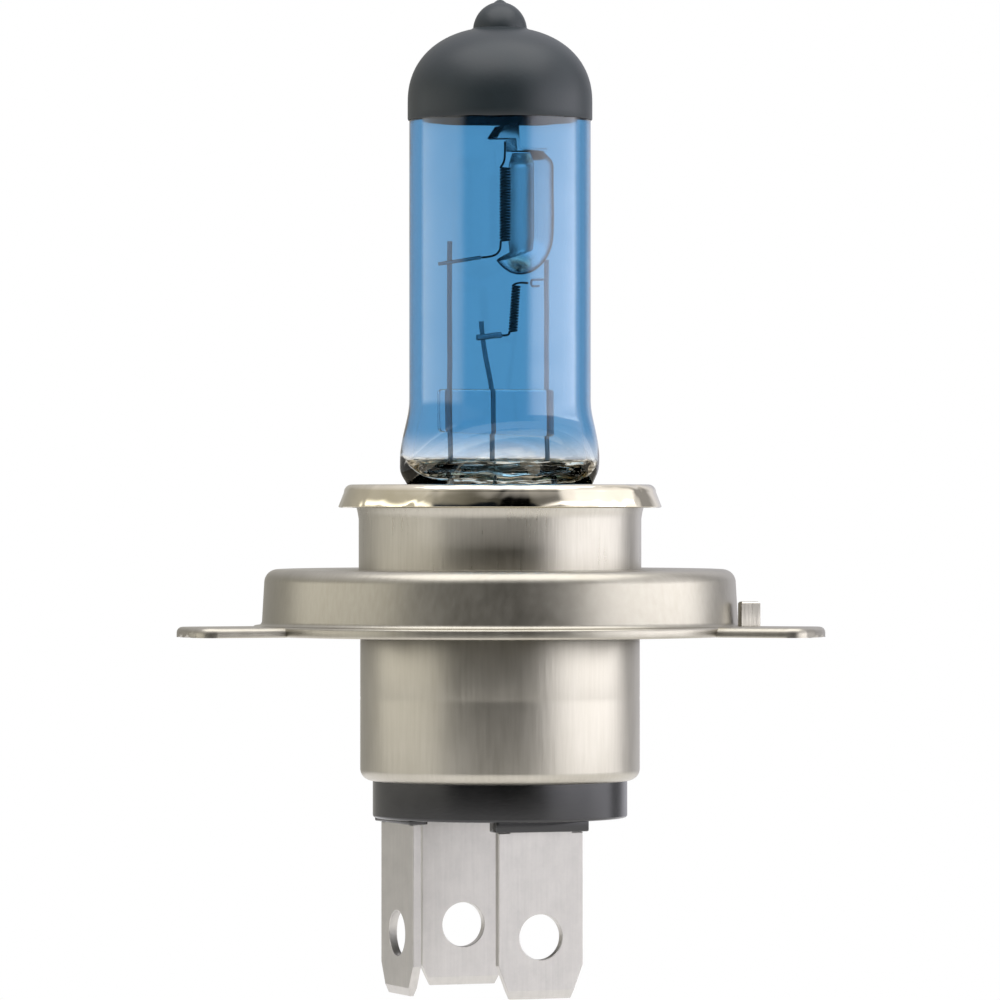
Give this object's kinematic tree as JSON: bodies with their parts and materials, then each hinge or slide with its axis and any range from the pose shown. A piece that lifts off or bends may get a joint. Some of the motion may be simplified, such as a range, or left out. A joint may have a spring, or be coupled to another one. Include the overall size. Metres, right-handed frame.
{
  "type": "headlight bulb",
  "caption": "Blue-glass halogen headlight bulb with a black tip, two filaments, a shield, a lugged steel cap with a focus ring, and blade contacts.",
  "frame": {"origin": "on the bulb's axis, in the reference plane, which is the glass-side seating face of the three lugs", "axes": "+Z along the bulb's axis towards the glass tip, -X towards the reference lug and the single contact tab, +Y completes a right-handed frame along the press seal's thin direction"},
  "size_m": [0.0548, 0.0446, 0.0897],
  "materials": {
    "blue_glass": "gloss",
    "clear_quartz": "gloss",
    "black_tip_paint": "satin",
    "lead_wire": "satin",
    "molybdenum": "satin",
    "tungsten": "satin",
    "satin_nickel": "satin",
    "bright_nickel": "polished",
    "black_plastic": "satin",
    "tinned_brass": "satin"
  },
  "bodies": {
    "root": {"glass_envelope": "blue_glass", "black_tip_coating": "black_tip_paint", "dipped_beam_post": "lead_wire", "main_beam_post": "lead_wire", "common_post": "lead_wire", "quartz_bridge": "clear_quartz", "molybdenum_foil_dipped": "molybdenum", "molybdenum_foil_main": "molybdenum", "molybdenum_foil_common": "molybdenum", "dipped_filament_crosswire": "lead_wire", "dipped_beam_filament": "tungsten", "dipped_beam_shield": "molybdenum", "dipped_filament_bracket": "molybdenum", "main_filament_clamp": "lead_wire", "main_filament_hook": "lead_wire", "main_beam_filament": "tungsten", "bulb_collar": "bright_nickel", "adjusting_sleeve": "satin_nickel", "pinch_holder": "satin_nickel", "focus_ring": "satin_nickel", "base_shell": "satin_nickel", "insulator_base": "black_plastic", "contact_tab_dipped": "tinned_brass", "contact_tab_main": "tinned_brass", "contact_tab_ground": "tinned_brass", "outer_lead_dipped": "lead_wire", "outer_lead_main": "lead_wire", "outer_lead_common": "lead_wire"}
  },
  "joints": []
}
